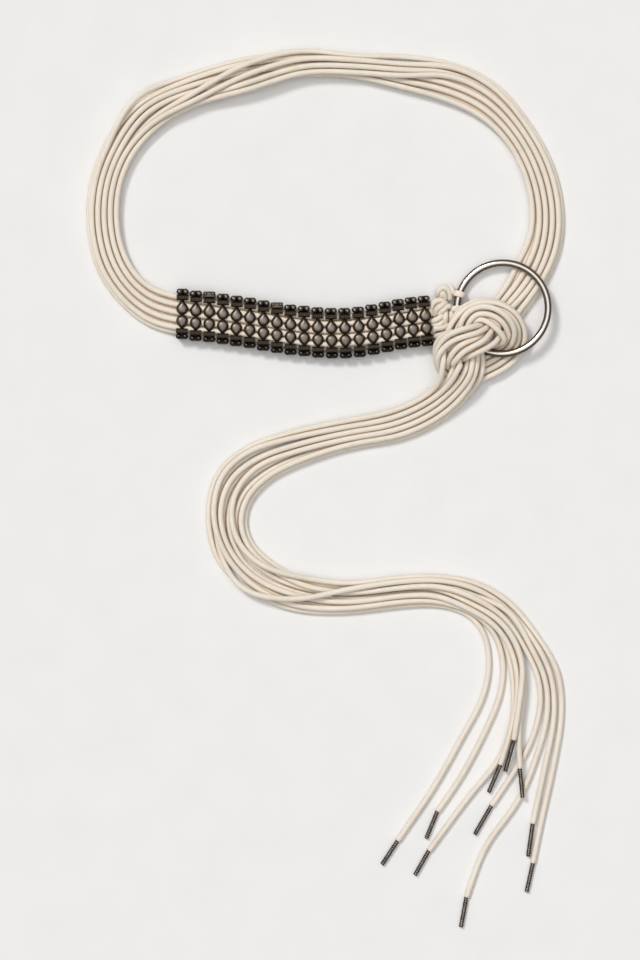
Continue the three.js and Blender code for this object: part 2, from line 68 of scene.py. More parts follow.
# The bundle of cords where it runs: name, left edge and right edge in plan, height of the lowest centres
STATIONS = [
    ("panel_end", (429.5, 339), (429.5, 303), 3.6),
    ("panel_right", (372, 348), (372, 312), 3.6),
    ("panel_mid", (318, 351), (318, 315), 3.6),
    ("panel_left", (245, 340.5), (245, 304.5), 3.6),
    ("panel_mouth", (176, 334.5), (176, 294.5), 3.6),
    ("hip_low", (149, 327), (153, 288), 2.0),
    ("hip_turn", (121, 304), (137, 276), 2.0),
    ("hip", (99, 272), (123, 251), 2.0),
    ("side_low", (89, 228), (117, 219), 2.0),
    ("side_high", (91, 180), (121, 187), 2.0),
    ("shoulder_low", (106.5, 140.5), (133.5, 156), 2.0),
    ("shoulder", (136, 102), (159.5, 125.5), 2.0),
    ("crown_left", (187, 79), (197, 104), 2.0),
    ("crown_mid_left", (243, 59), (248, 91), 2.0),
    ("crown_top", (302, 50.5), (303, 78), 2.0),
    ("crown_waist", (352, 57), (350, 77), 2.0),
    ("crown_mid_right", (405, 55.5), (399, 88.5), 2.0),
    ("crown_right", (455, 64), (443, 101), 2.0),
    ("far_shoulder", (496, 84), (480, 118), 2.0),
    ("far_side_high", (528.5, 123), (508, 144), 2.0),
    ("far_side", (551.5, 165.5), (525, 176), 2.0),
    ("far_hip", (563, 210), (531, 209), 2.0),
    ("far_hip_low", (561, 248), (528, 241), 2.0),
    ("under_ring_right", (546, 282), (520, 262), 2.0),
    ("ring_inside", (532, 300), (509, 284), 2.0),
    ("under_arc", (517, 316), (496, 304), 2.0),
    ("rise", (500, 337), (481, 321), 6.5),
    ("band_high", (482, 350), (468, 326), 16.5),
    ("band", (466, 357), (449, 334), 17.5),
    ("curl_start", (457, 361), (445, 350), 13.0),
    ("curl", (456, 365), (444, 365), 7.0),
    ("curl_foot", (459, 362), (454, 375), 2.0),
    ("under_tail", (468, 356), (470, 377), 2.0),
    ("low_loop", (482, 351), (490, 370), 2.0),
    ("under_ring_foot", (494, 344), (511, 356), 2.0),
    ("arc_right", (499, 335), (520, 335), 6.0),
    ("arc_upper_right", (494, 327), (508, 313), 10.2),
    ("arc_top", (483, 325), (481, 306), 10.4),
    ("arc_upper_left", (474, 328), (461, 317), 10.4),
    ("arc_left", (470, 338), (453, 333), 10.2),
    ("under_band", (472, 352), (451, 351), 10.0),
    ("tail_root", (471, 372), (450, 370), 10.0),
    ("tail_drop", (464, 395), (440, 386), 5.0),
    ("tail_bend", (444, 417), (418, 401), 2.0),
    ("tail_top_right", (404, 439), (385, 412), 2.0),
    ("tail_top", (352, 449), (340, 420), 2.0),
    ("tail_top_left", (303, 465), (286, 432), 2.0),
    ("tail_shoulder", (271, 481), (244, 447), 2.0),
    ("tail_turn_high", (251, 502), (216, 472), 2.0),
    ("tail_turn", (246, 524), (207, 518), 2.0),
    ("tail_turn_low", (255, 546), (217, 560), 2.0),
    ("tail_hip", (276, 563), (241, 590), 2.0),
    ("tail_foot_left", (309, 577), (286, 609), 2.0),
    ("tail_foot", (352, 581.5), (342, 613), 2.0),
    ("tail_foot_right", (402, 576), (402, 606), 2.0),
    ("tail_rise", (438, 575.5), (434, 605), 2.0),
    ("tail_split", (474, 588), (464, 611), 2.0),
]

# Order of the cords across the bundle: station, cords from left to right with None for a free place, and
# the level of each place where it isn't 0 and 1 in turn
ORDERS = [
    ("panel_end", (5, 7, 3, 1, 9, 2, 8, 6, 4, 10), None),
    ("side_high", (5, 7, 3, 1, 9, 2, 8, 6, 4, 10), None),
    ("shoulder_low", (5, 7, 3, 1, 9, 2, 8, 6, 4, 10), (0, 1.5, 0, 1, 0, 1, 0, 1, 0, 1)),
    ("shoulder", (7, 5, 3, 1, 9, 2, 8, 6, 4, 10), (1.5, 0.5, 0, 1, 0, 1, 0, 1, 0, 1)),
    ("crown_left", (7, 5, 3, 1, 9, 8, 2, 6, 4, 10), (0, 1, 0, 1, 0, 2, 1, 2, 0, 1)),
    ("crown_mid_left", (7, 5, 8, 3, 1, 6, 9, 4, 2, 10), (0, 1, 2, 0, 1, 2, 0, 2, 1, 2)),
    ("crown_top", (8, 7, 5, 6, 3, 1, 4, 9, 10, 2), (1, 0, 1, 2, 0, 1, 2, 0, 2, 1)),
    ("crown_waist", (8, 7, 6, 5, 3, 4, 1, 9, 10, 2), (1, 0, 2, 1, 0, 2, 1, 0, 2, 1)),
    ("crown_mid_right", (8, None, None, None, 6, 7, 4, 5, 10, 3, 1, 9, 2),
     (0, 0, 0, 0, 1, 0, 2, 1, 2, 0, 1, 0, 1)),
    ("crown_right", (8, 6, 4, 10, 7, 5, 3, 1, 9, 2), None),
    ("tail_top", (8, 6, 4, 10, 7, 5, 3, 1, 9, 2), None),
    ("tail_shoulder", (8, 6, 4, None, 7, 10, 3, 5, None, 9, 1, 2), (0, 1, 0, 0, 0, 1, 0, 1, 0, 0, 1, 0)),
    ("tail_turn", (8, 6, None, 4, 10, 7, None, 3, 5, 9, 1, 2), (0, 1, 0, 0, 1, 0, 0, 0, 1, 0, 1, 0)),
    ("tail_hip", (8, 6, 10, 4, None, 7, 5, 3, 1, 2, 9), (0, 1, 2, 0, 0, 0, 1, 0, 1, 0, 1)),
    ("tail_foot_left", (10, 8, 6, 4, None, 7, 5, 9, 3, 1, 2), (1, 0, 1, 0, 0, 0, 1, 2, 0, 1, 0)),
    ("tail_foot", (10, 8, 9, 6, 4, None, 7, 5, 3, 1, 2), (1, 0, 2, 1, 0, 0, 0, 1, 0, 1, 0)),
    ("tail_split", (10, 9, 8, 6, 4, 7, 5, 3, 1, 2), (0, 1, 0, 2, 1, 0, 2, 0, 1, 0)),
]

# Where each cord leaves the bundle and fans out: plan x, plan y, height. The last two points are the ends
# of its tip.
FANS = [
    [(492, 625, 2), (504, 657, 2), (501, 693, 2), (484, 734, 2), (461, 777, 2), (437.2, 811.2, 2),
     (426, 838.6, 2)],
    [(483.5, 624, 2), (490, 656, 2), (484, 695, 2), (463, 735, 2), (434, 787, 2), (397.5, 840.5, 2),
     (381.7, 864.5, 2)],
    [(495, 620, 4), (509, 651, 2), (515, 690, 2), (513, 724, 2), (500, 760, 2), (472, 793, 2),
     (428.8, 850.5, 2), (414.7, 875, 2)],
    [(503, 616, 6), (522, 657, 6), (519, 702, 8), (513, 739, 8), (504.5, 771.2, 4)],
    [(499, 619, 6), (514, 653, 3), (519, 692, 4), (512, 730, 6), (500.3, 764.2, 5), (488.4, 792.3, 2)],
    [(502, 616, 4), (524, 648, 3), (538, 677, 2), (540.5, 706, 2), (529, 747, 2), (512, 775, 2),
     (491.2, 805.6, 2), (474.4, 834.4, 2)],
    [(501, 618, 4), (517, 652, 6), (523, 686, 6), (516, 722, 8), (518.3, 767.7, 6), (522.1, 797.2, 6)],
    [(505, 614, 6), (531, 648, 5), (545, 678, 2), (547.5, 712, 2), (537, 755, 2), (518, 801, 2),
     (485, 847, 2), (466.2, 897, 2), (460.7, 927, 2)],
    [(503, 612, 2), (534, 645, 5), (550, 675, 2), (554, 714, 2), (545, 766, 2), (532.9, 823.8, 2),
     (529, 856.8, 2)],
    [(505, 609, 4), (536, 638.5, 2), (557, 672, 2), (561, 715, 2), (553, 766, 2), (540, 825, 2),
     (532.3, 863, 2), (526.3, 891.9, 2)],
]

# Knots that the cords lie against: plan middle, height, half sizes in mm, turn in degrees
KNOTS = [
    ((443.6, 293.6), 4.6, (6.1, 5.5, 4.5), 0),
    ((440.8, 308.0), 5.0, (6.5, 5.3, 4.9), -6),
    ((437.4, 320.6), 4.6, (5.4, 4.1, 4.5), 6),
    ((448.4, 319.8), 3.9, (2.6, 4.4, 3.8), -4),
    ((440.8, 331.6), 3.8, (7.4, 4.0, 3.7), 4),
]
MACRAME_CORD = 2.8
MACRAME_TAIL = [(452, 337.4, 1.5), (445, 338.4, 1.5), (438.2, 340.6, 1.5), (436.2, 345.5, 1.5),
                (439.5, 350, 1.5)]
RING_LOOP = {"inner": RING["wire"] / 2 + 0.45, "thickness": 1.6, "width": 4.6}
RING_LOOP_ANGLES = (161, 180)

# How the drafted cords settle. Each round pushes them out of contact, pulls them towards the draft, sinks
# them by some millimetres and evens out their moves. The closing rounds only push.
SETTLE = {"rounds": 280, "push": 0.5, "hold": 0.06, "sink": 0.02, "spread": 0.35, "closing": 140}
# The same for the smoothed cords, which are relaxed instead until the closing rounds
FINE = {"step": 3.4, "spacing": 4.06, "rounds": 60, "push": 0.5, "reach": 12.0, "relax": 0.12, "closing": 14}
TUBE = {"step": 1.7, "sides": 16}


def place(x, y, z):
    return np.array([(x - PLAN_CENTRE[0]) * MM_PER_PIXEL, (PLAN_CENTRE[1] - y) * MM_PER_PIXEL, z], float)


def unit(vector):
    return vector / np.linalg.norm(vector)


# Camera, as the photograph was taken: straight down, its picture plane parallel to the floor

CAMERA_HEIGHT = 2.4
SENSOR = 36.0


def add_camera():
    frame_height = IMAGE_HEIGHT * MM_PER_PIXEL * MM
    data = bpy.data.cameras.new("camera")
    data.sensor_width = SENSOR
    data.lens = SENSOR * CAMERA_HEIGHT / frame_height
    data.clip_end = 50
    camera = bpy.data.objects.new("camera", data)
    middle = place(IMAGE_WIDTH / 2, IMAGE_HEIGHT / 2, 0) * MM
    camera.location = (middle[0], middle[1], CAMERA_HEIGHT)
    bpy.context.scene.collection.objects.link(camera)
    bpy.context.scene.camera = camera


# Routes of the cords, in millimetres

STATION_INDEX = {row[0]: index for index, row in enumerate(STATIONS)}
PINNED = STATION_INDEX["panel_mouth"]


# Fraction across the bundle and level of each cord at a row of ORDERS
def slots(row):
    _, cords, levels = row
    found = {}
    for index, cord in enumerate(cords):
        level = levels[index] if levels else index % 2
        found[cord] = (index / (len(cords) - 1), level)
    return found


def slot_at(cord, index):
    rows = [STATION_INDEX[name] for name, _, _ in ORDERS]
    upper = next(i for i, row in enumerate(rows) if row >= index)
    if rows[upper] == index:
        return slots(ORDERS[upper])[cord]
    t = (index - rows[upper - 1]) / (rows[upper] - rows[upper - 1])
    before = slots(ORDERS[upper - 1])[cord]
    after = slots(ORDERS[upper])[cord]
    return tuple(a + (b - a) * t for a, b in zip(before, after))


def bundle_point(cord, index):
    _, left_edge, right_edge, height = STATIONS[index]
    across, level = slot_at(cord, index)
    left = place(*left_edge, 0)
    right = place(*right_edge, 0)
    inset = CORD["diameter"] / 2 / np.linalg.norm(right - left)
    point = left + (right - left) * (inset + (1 - 2 * inset) * across)
    point[2] = height + CORD["level_step"] * level + CORD["level_lift"] * cord
    return point


def draft_route(cord):
    bundle = [bundle_point(cord, index) for index in range(len(STATIONS))]
    fan = [place(*point) for point in FANS[cord - 1]]
    return np.array(bundle + fan)


def ring_tilt():
    return Vector((0, 0, 1)).rotation_difference(Vector((-RING_SLOPE[0], -RING_SLOPE[1], 1)))


def ring_point(angle, radius):
    around = ring_tilt() @ Vector((math.cos(angle) * radius, math.sin(angle) * radius, 0))
    return np.array(around) + place(*RING["centre"], RING["height"])


def knot_line(at, height, half, turn):
    middle = place(*at, height)
    long, wide = max(half[:2]), min(half[:2])
    heading = math.radians(turn + (0 if half[0] >= half[1] else 90))
    reach = np.array([math.cos(heading), math.sin(heading), 0]) * (long - wide + 0.01)
    return [middle - reach, middle + reach], max(wide, half[2])


# Fixed things that the cords lie on or against, as lines with a radius
def obstacles():
    reach = math.degrees(RING_LOOP["width"] / 2 / RING_RADIUS)
    loop_radius = RING_LOOP["inner"] + RING_LOOP["thickness"]
    found = []
    for angle in RING_LOOP_ANGLES:
        ends = [ring_point(math.radians(angle + side * reach), RING_RADIUS) for side in (-1, 1)]
        found.append((ends, loop_radius))
    steps = RING["steps"]
    ring = [ring_point(2 * math.pi * step / steps, RING_RADIUS) for step in range(steps + 1)]
    found.append((ring, RING["wire"] / 2))
    found += [knot_line(*row) for row in KNOTS]
    found.append(([place(*point) for point in MACRAME_TAIL], MACRAME_CORD / 2))
    return found


# All the cords as one array of points, with the cord and the rank of each
class Bundle:
    def __init__(self, lines):
        self.points = np.concatenate(lines)
        self.cord = np.concatenate([np.full(len(line), i) for i, line in enumerate(lines)])
        self.rank = np.concatenate([np.arange(len(line)) for line in lines])
        self.first = np.flatnonzero(self.cord[:-1] == self.cord[1:])

    def pairs(self, apart_on_cord):
        i, j = np.triu_indices(len(self.first), 1)
        i, j = self.first[i], self.first[j]
        keep = (self.cord[i] != self.cord[j]) | (j >= i + apart_on_cord)
        return i[keep], j[keep]

    def lines(self):
        return [self.points[self.cord == cord] for cord in range(self.cord.max() + 1)]


def dot(a, b):
    return (a * b).sum(1)


# Fractions along two segments at which they come closest
def closest(p0, p1, q0, q1):
    u, v, w = p1 - p0, q1 - q0, p0 - q0
    a, b, c, d, e = dot(u, u), dot(u, v), dot(v, v), dot(u, w), dot(v, w)
    det = a * c - b * b
    crossing = det > 1e-9 * a * c
    s = np.where(crossing, np.clip((b * e - c * d) / np.where(crossing, det, 1), 0, 1), 0.5)
    t = np.clip((b * s + e) / c, 0, 1)
    s = np.clip((b * t - d) / a, 0, 1)
    return s[:, None], t[:, None]


# The push that parts two segments where they are closer than "apart", and where along them it acts
def parting(p0, p1, q0, q1, apart):
    s, t = closest(p0, p1, q0, q1)
    gap = (p0 + (p1 - p0) * s) - (q0 + (q1 - q0) * t)
    distance = np.linalg.norm(gap, axis=1)
    touching = (distance < apart) & (distance > 1e-6)
    share = np.where(touching, (apart - distance) / np.maximum(distance, 1e-6), 0)
    return gap * share[:, None], s, t


def near_pairs(points, i, j, apart):
    middle = (points[:-1] + points[1:]) / 2
    half = np.linalg.norm(points[1:] - points[:-1], axis=1) / 2
    distance = np.linalg.norm(middle[i] - middle[j], axis=1)
    near = distance < half[i] + half[j] + apart
    return i[near], j[near]


def contact_moves(points, pairs, spacing):
    i, j = near_pairs(points, *pairs, spacing)
    push, s, t = parting(points[i], points[i + 1], points[j], points[j + 1], spacing)
    moves = np.zeros_like(points)
    np.add.at(moves, i, 0.5 * push * (1 - s))
    np.add.at(moves, i + 1, 0.5 * push * s)
    np.add.at(moves, j, -0.5 * push * (1 - t))
    np.add.at(moves, j + 1, -0.5 * push * t)
    return moves


def obstacle_moves(points, first, fixed, clearance):
    starts = np.concatenate([np.array(line[:-1]) for line, _ in fixed])
    ends = np.concatenate([np.array(line[1:]) for line, _ in fixed])
    apart = np.concatenate([np.full(len(line) - 1, radius) for line, radius in fixed]) + clearance
    rows, k = grid(len(first), len(starts))
    i = first[rows]
    push, s, _ = parting(points[i], points[i + 1], starts[k], ends[k], apart[k])
    moves = np.zeros_like(points)
    np.add.at(moves, i, push * (1 - s))
    np.add.at(moves, i + 1, push * s)
    return moves


# Evens out how far neighbouring points have been moved from the drafted route
def spread_moves(bundle, draft):
    shift = bundle.points - draft
    last = np.append(bundle.rank[1:] == 0, True)
    inner = np.flatnonzero((bundle.rank >= PINNED) & ~last)
    mean = (shift[inner - 1] + shift[inner + 1]) / 2
    bundle.points[inner] += (mean - shift[inner]) * SETTLE["spread"]


# Lets the drafted cords settle on the floor, the ring, the macrame and each other
def settle(drafts, fixed):
    bundle = Bundle(drafts)
    draft = bundle.points.copy()
    pairs = bundle.pairs(3)
    free = bundle.rank >= PINNED
    for turn in range(SETTLE["rounds"]):
        closing = turn >= SETTLE["rounds"] - SETTLE["closing"]
        moves = contact_moves(bundle.points, pairs, CORD["spacing"])
        moves += obstacle_moves(bundle.points, bundle.first, fixed, CORD["diameter"] / 2 + SEAT)
        bundle.points[free] += moves[free] * SETTLE["push"]
        if not closing:
            bundle.points[free] += (draft[free] - bundle.points[free]) * SETTLE["hold"]
            bundle.points[free, 2] -= SETTLE["sink"]
        bundle.points[free, 2] = np.maximum(bundle.points[free, 2], CORD["diameter"] / 2)
        if not closing:
            spread_moves(bundle, draft)
    return bundle.lines()


# A smooth curve through points, with its own points about a step apart
def smooth(points, step):
    points = np.asarray(points, float)
    lengths = np.linalg.norm(np.diff(points, axis=0), axis=1)
    ends = [2 * points[0] - points[1], 2 * points[-1] - points[-2]]
    padded = np.concatenate([[ends[0]], points, [ends[1]]])
    knots = np.concatenate([[0], np.cumsum(np.sqrt(np.linalg.norm(np.diff(padded, axis=0), axis=1)))])
    found = []
    for i, length in enumerate(lengths):
        count = max(4, math.ceil(length / step * 3))
        t = np.linspace(knots[i + 1], knots[i + 2], count, endpoint=False)[:, None]
        found.append(catmull_rom(padded[i:i + 4], knots[i:i + 4], t))
    return even(np.concatenate(found + [points[-1:]]), step)


def catmull_rom(p, k, t):
    def between(a, b, start, end):
        return a * (end - t) / (end - start) + b * (t - start) / (end - start)
    a1, a2, a3 = [between(p[i], p[i + 1], k[i], k[i + 1]) for i in range(3)]
    b1, b2 = between(a1, a2, k[0], k[2]), between(a2, a3, k[1], k[3])
    return between(b1, b2, k[1], k[2])


def even(line, step):
    along = np.concatenate([[0], np.cumsum(np.linalg.norm(np.diff(line, axis=0), axis=1))])
    at = np.linspace(0, along[-1], max(3, round(along[-1] / step) + 1))
    return np.stack([np.interp(at, along, line[:, axis]) for axis in range(3)], axis=1)


# Takes the small waves out of each cord, as its stiffness would
def relax(bundle):
    last = np.append(bundle.rank[1:] == 0, True)
    inner = np.flatnonzero((bundle.rank > 0) & ~last)
    mean = (bundle.points[inner - 1] + bundle.points[inner + 1]) / 2
    bundle.points[inner] += (mean - bundle.points[inner]) * FINE["relax"]


# Presses the smoothed cords out of each other where their curves have cut a corner
def settle_smooth(lines, fixed):
    bundle = Bundle([smooth(line, FINE["step"]) for line in lines])
    apart_on_cord = round(3 * CORD["diameter"] / FINE["step"])
    pairs = near_pairs(bundle.points, *bundle.pairs(apart_on_cord), FINE["reach"])
    for turn in range(FINE["rounds"]):
        if turn < FINE["rounds"] - FINE["closing"]:
            relax(bundle)
        moves = contact_moves(bundle.points, pairs, FINE["spacing"])
        moves += obstacle_moves(bundle.points, bundle.first, fixed, CORD["diameter"] / 2)
        bundle.points += moves * FINE["push"]
        bundle.points[:, 2] = np.maximum(bundle.points[:, 2], CORD["diameter"] / 2)
    return [smooth(line, TUBE["step"]) for line in bundle.lines()]


# The cord's own route, which ends inside its tip, and the two ends of that tip
def split_tip(route):
    start, end = route[-2], route[-1]
    heading = unit(end - start)
    inside = start + heading * TIP["overlap"]
    return np.concatenate([route[:-2], [inside]]), start - heading * TIP["gap"], end


# Meshes, in millimetres until they are handed to Blender

# The map that every mesh carries: millimetres along it, and share of the way round it
MAP_NAME = "run"


def unit_rows(rows):
    return rows / np.maximum(np.linalg.norm(rows, axis=1), 1e-12)[:, None]


# Two unit vectors across a line at each of its points, which turn as little as they can along it
def frames_along(line):
    tangents = unit_rows(np.gradient(line, axis=0))
    across = np.cross(tangents[0], (0, 0, 1) if abs(tangents[0][2]) < 0.9 else (1, 0, 0))
    sideways = np.empty_like(line)
    for index, tangent in enumerate(tangents):
        across = unit(across - tangent * across.dot(tangent))
        sideways[index] = across
    return sideways, np.cross(tangents, sideways)


# Row and column of every cell of a grid
def grid(rows, columns):
    return [index.ravel() for index in np.meshgrid(np.arange(rows), np.arange(columns), indexing="ij")]


# A mesh of rings of points joined by quads and closed at both ends, with a map along it and around it
class Rings:
    def __init__(self, rings, along=None):
        self.rings = np.asarray(rings, float)
        count, sides = self.rings.shape[:2]
        self.along = np.arange(count, dtype=float) if along is None else np.asarray(along, float)
        self.vertices = self.rings.reshape(-1, 3)
        ring, side = grid(count - 1, sides)
        after = (side + 1) % sides
        self.quads = np.stack([ring * sides + side, ring * sides + after, (ring + 1) * sides + after,
                               (ring + 1) * sides + side], axis=1)
        low, high = self.along[ring], self.along[ring + 1]
        self.quad_map = np.stack([low, side / sides, low, (side + 1) / sides, high, (side + 1) / sides,
                                  high, side / sides], axis=1).reshape(-1, 2)
        self.ends = [list(range(sides))[::-1], list(range((count - 1) * sides, count * sides))]
        self.end_map = [(self.along[0], 0.0)] * sides + [(self.along[-1], 0.0)] * sides


# Joins several Rings into one Blender mesh object
def mesh_object(name, parts, material):
    vertices, faces, coordinates = [], [], []
    offset = 0
    for part in parts:
        vertices.append(part.vertices)
        faces += [[offset + i for i in face] for face in part.quads.tolist() + part.ends]
        coordinates += part.quad_map.tolist() + part.end_map
        offset += len(part.vertices)
    mesh = bpy.data.meshes.new(name)
    mesh.from_pydata((np.concatenate(vertices) * MM).tolist(), [], faces)
    layer = mesh.uv_layers.new(name=MAP_NAME)
    layer.data.foreach_set("uv", np.array(coordinates, np.float32).ravel())
    mesh.polygons.foreach_set("use_smooth", [True] * len(mesh.polygons))
    mesh.materials.append(material)
    mesh.update()
    piece = bpy.data.objects.new(name, mesh)
    bpy.context.scene.collection.objects.link(piece)
    return piece


# Radii along a tube whose two ends are domed
def domed(line, radius, dome):
    along = np.concatenate([[0], np.cumsum(np.linalg.norm(np.diff(line, axis=0), axis=1))])
    from_end = np.minimum(along, along[-1] - along)
    inside = np.clip(from_end / dome, 0, 1)
    return radius * np.sqrt(np.clip(1 - (1 - inside) ** 2, 0.0004, 1))


# Unit steps outward from each point of a line, at each angle round it
def offsets_round(angles, sideways, upward):
    turn = angles[None, :, None]
    return np.cos(turn) * sideways[:, None] + np.sin(turn) * upward[:, None]


def tube(line, radii, sides):
    sideways, upward = frames_along(line)
    angles = 2 * math.pi * np.arange(sides) / sides
    offsets = offsets_round(angles, sideways, upward)
    radii = np.broadcast_to(radii, len(line))
    rings = line[:, None] + offsets * radii[:, None, None]
    along = np.concatenate([[0], np.cumsum(np.linalg.norm(np.diff(line, axis=0), axis=1))])
    return Rings(rings, along)


# Materials

def set_stops(ramp, stops):
    elements = ramp.color_ramp.elements
    while len(elements) < len(stops):
        elements.new(0.5)
    for element, (position, colour) in zip(elements, stops):
        element.position = position
        element.color = (*colour, 1.0)


# A material being built, with short calls for the nodes that it needs
class Look:
    def __init__(self, name, **settings):
        self.material = bpy.data.materials.new(name)
        self.material.use_nodes = True
        self.tree = self.material.node_tree
        self.shader = self.tree.nodes["Principled BSDF"]
        for socket, value in settings.items():
            self.shader.inputs[socket.replace("_", " ")].default_value = value

    def node(self, kind, settings=None, **inputs):
        made = self.tree.nodes.new(kind)
        for name, value in (settings or {}).items():
            setattr(made, name, value)
        for name, value in inputs.items():
            self.feed(made.inputs[name.replace("_", " ")], value)
        return made

    def feed(self, socket, value):
        if isinstance(value, bpy.types.NodeSocket):
            self.tree.links.new(value, socket)
        else:
            socket.default_value = value

    def math(self, operation, *values):
        made = self.tree.nodes.new("ShaderNodeMath")
        made.operation = operation
        for socket, value in zip(made.inputs, values):
            self.feed(socket, value)
        return made.outputs[0]

    def run_and_round(self):
        source = self.node("ShaderNodeUVMap", {"uv_map": MAP_NAME})
        split = self.node("ShaderNodeSeparateXYZ", Vector=source.outputs["UV"])
        return split.outputs["X"], split.outputs["Y"]

    # From 0 at the sides of a level tube, by its map, to 1 along its top
    def crown(self):
        _, around = self.run_and_round()
        return self.math("ABSOLUTE", self.math("SINE", self.math("MULTIPLY", around, 2 * math.pi)))

    def place(self):
        return self.node("ShaderNodeTexCoord").outputs["Object"]

    def noise(self, vector, scale, detail=3.0, roughness=0.5):
        made = self.node("ShaderNodeTexNoise", Vector=vector, Scale=scale, Detail=detail, Roughness=roughness)
        return made.outputs["Fac"]

    def vector(self, x, y, z=0.0):
        made = self.tree.nodes.new("ShaderNodeCombineXYZ")
        for socket, value in zip(made.inputs, (x, y, z)):
            self.feed(socket, value)
        return made.outputs[0]

    def ramp(self, value, stops):
        made = self.node("ShaderNodeValToRGB", Fac=value)
        set_stops(made, stops)
        return made.outputs["Color"]

    def spread(self, value, low, high, to_low, to_high):
        made = self.node("ShaderNodeMapRange")
        for name, setting in (("Value", value), ("From Min", low), ("From Max", high), ("To Min", to_low),
                              ("To Max", to_high)):
            self.feed(made.inputs[name], setting)
        return made.outputs["Result"]

    def colour(self, socket):
        self.feed(self.shader.inputs["Base Color"], socket)

    def rough(self, socket):
        self.feed(self.shader.inputs["Roughness"], socket)

    # How open a place is to the light, from 0 in a crevice to 1
    def open_to_light(self, reach):
        made = self.node("ShaderNodeAmbientOcclusion", {"samples": 8}, Distance=reach)
        return made.outputs["AO"]

    def multiplied(self, colour, other):
        made = self.node("ShaderNodeMix", {"data_type": "RGBA", "blend_type": "MULTIPLY"})
        made.inputs["Factor"].default_value = 1.0
        self.feed(made.inputs[6], colour)
        self.feed(made.inputs[7], other)
        return made.outputs[2]

    def bump(self, height, distance, strength=1.0):
        made = self.node("ShaderNodeBump", Height=height, Distance=distance, Strength=strength)
        self.feed(self.shader.inputs["Normal"], made.outputs["Normal"])


# The cords' braid: strands each way, and millimetres along the cord between its crossings
BRAID = {"strands": 8, "pitch": 1.5}

# Painted shade deep between cords: how it darkens and warms their colour, by how open a place is
CREVICE = {
    "reach": 0.003,
    "tints": [(0.1, (0.76, 0.58, 0.42)), (0.45, (0.96, 0.88, 0.79)), (0.8, (1.0, 1.0, 1.0))],
}
CREAMS = [(0.25, (0.62, 0.52, 0.41)), (0.5, (0.80, 0.725, 0.62)), (0.8, (0.88, 0.82, 0.73))]


# Waxed cotton: sixteen strands braided round the cord, eight each way, each a twist of fine fibres
def cord_look(name):
    look = Look(name, Roughness=0.72, Specular_IOR_Level=0.3, Sheen_Weight=0.25, Sheen_Roughness=0.5)
    look.shader.inputs["Sheen Tint"].default_value = (0.95, 0.88, 0.78, 1)
    run, around = look.run_and_round()
    climb = look.math("MULTIPLY", run, 1 / BRAID["pitch"])
    turn = look.math("MULTIPLY", around, BRAID["strands"])
    rising = look.math("ADD", turn, climb)
    falling = look.math("SUBTRACT", turn, climb)
    heights = [look.math("ABSOLUTE", look.math("SINE", look.math("MULTIPLY", way, math.pi)))
               for way in (rising, falling)]
    weave = look.math("MAXIMUM", *heights)
    drawn_out = look.vector(look.math("MULTIPLY", run, 1.6), look.math("MULTIPLY", around, 60.0))
    fibres = look.noise(drawn_out, 1.0, 4.0)
    cloudy = look.noise(look.place(), 38.0, 3.0)
    soiled = look.noise(look.place(), 210.0, 2.0)
    height = look.math("ADD", look.math("MULTIPLY", weave, 0.6), look.math("MULTIPLY", fibres, 0.4))
    shade = look.math("ADD", look.math("MULTIPLY", cloudy, 0.45), look.math("MULTIPLY", height, 0.35))
    shade = look.math("ADD", shade, look.math("MULTIPLY", soiled, 0.2))
    cream = look.ramp(shade, CREAMS)
    # Painted shade: the cream turns darker and warmer where the cords lie close to each other or to other
    # things
    painted_crevice_shade = look.ramp(look.open_to_light(CREVICE["reach"]), CREVICE["tints"])
    look.colour(look.multiplied(cream, painted_crevice_shade))
    look.rough(look.spread(height, 0.0, 1.0, 0.82, 0.6))
    look.bump(height, 0.00022, 0.5)
    return look.material


# From the hollows of the tips' wire to its rubbed high places, with a painted highlight along the top of each
# tip
WIRE_COLOURS = [(0.3, (0.014, 0.009, 0.006)), (0.72, (0.23, 0.187, 0.16))]


# Dark wire, rubbed brighter on its high places, with a painted highlight along the top of each tip
def wire_look():
    look = Look("wound_wire", Metallic=0.9)
    place_in = look.place()
    wear = look.noise(place_in, 420.0, 5.0, 0.6)
    pits = look.noise(place_in, 1600.0, 3.0, 0.6)
    high = look.node("ShaderNodeNewGeometry").outputs["Pointiness"]
    rubbed = look.spread(high, 0.46, 0.56, 0.0, 1.0)
    wear_and_light = look.math("ADD", look.math("MULTIPLY", rubbed, 0.6), look.math("MULTIPLY", wear, 0.5))
    # Painted highlight: brighter along the top of the tip, darker down its sides
    wear_and_light = look.math("MULTIPLY", wear_and_light, look.spread(look.crown(), 0.45, 1.0, 0.2, 1.0))
    look.colour(look.ramp(wear_and_light, WIRE_COLOURS))
    look.rough(look.spread(wear, 0.3, 0.75, 0.22, 0.45))
    relief = look.math("ADD", look.math("MULTIPLY", pits, 0.5), look.math("MULTIPLY", wear, 0.5))
    look.bump(relief, 0.0001, 0.35)
    return look.material


# From the castings' low places and the painted shade in their gaps to their crowns and the painted highlight
# on the top balls
CASTING_COLOURS = [(0.03, (0.016, 0.010, 0.006)), (0.24, (0.075, 0.058, 0.044)), (0.6, (0.215, 0.180, 0.148)),
                   (1.0, (0.58, 0.53, 0.48))]

# Heights of the raised places, and distances of the balls and bars from the middle, in metres
CASTING_ZONES = {"raised": (0.0104, 0.0119), "ball": (0.0137, 0.0141), "bar": (0.0094, 0.0098)}
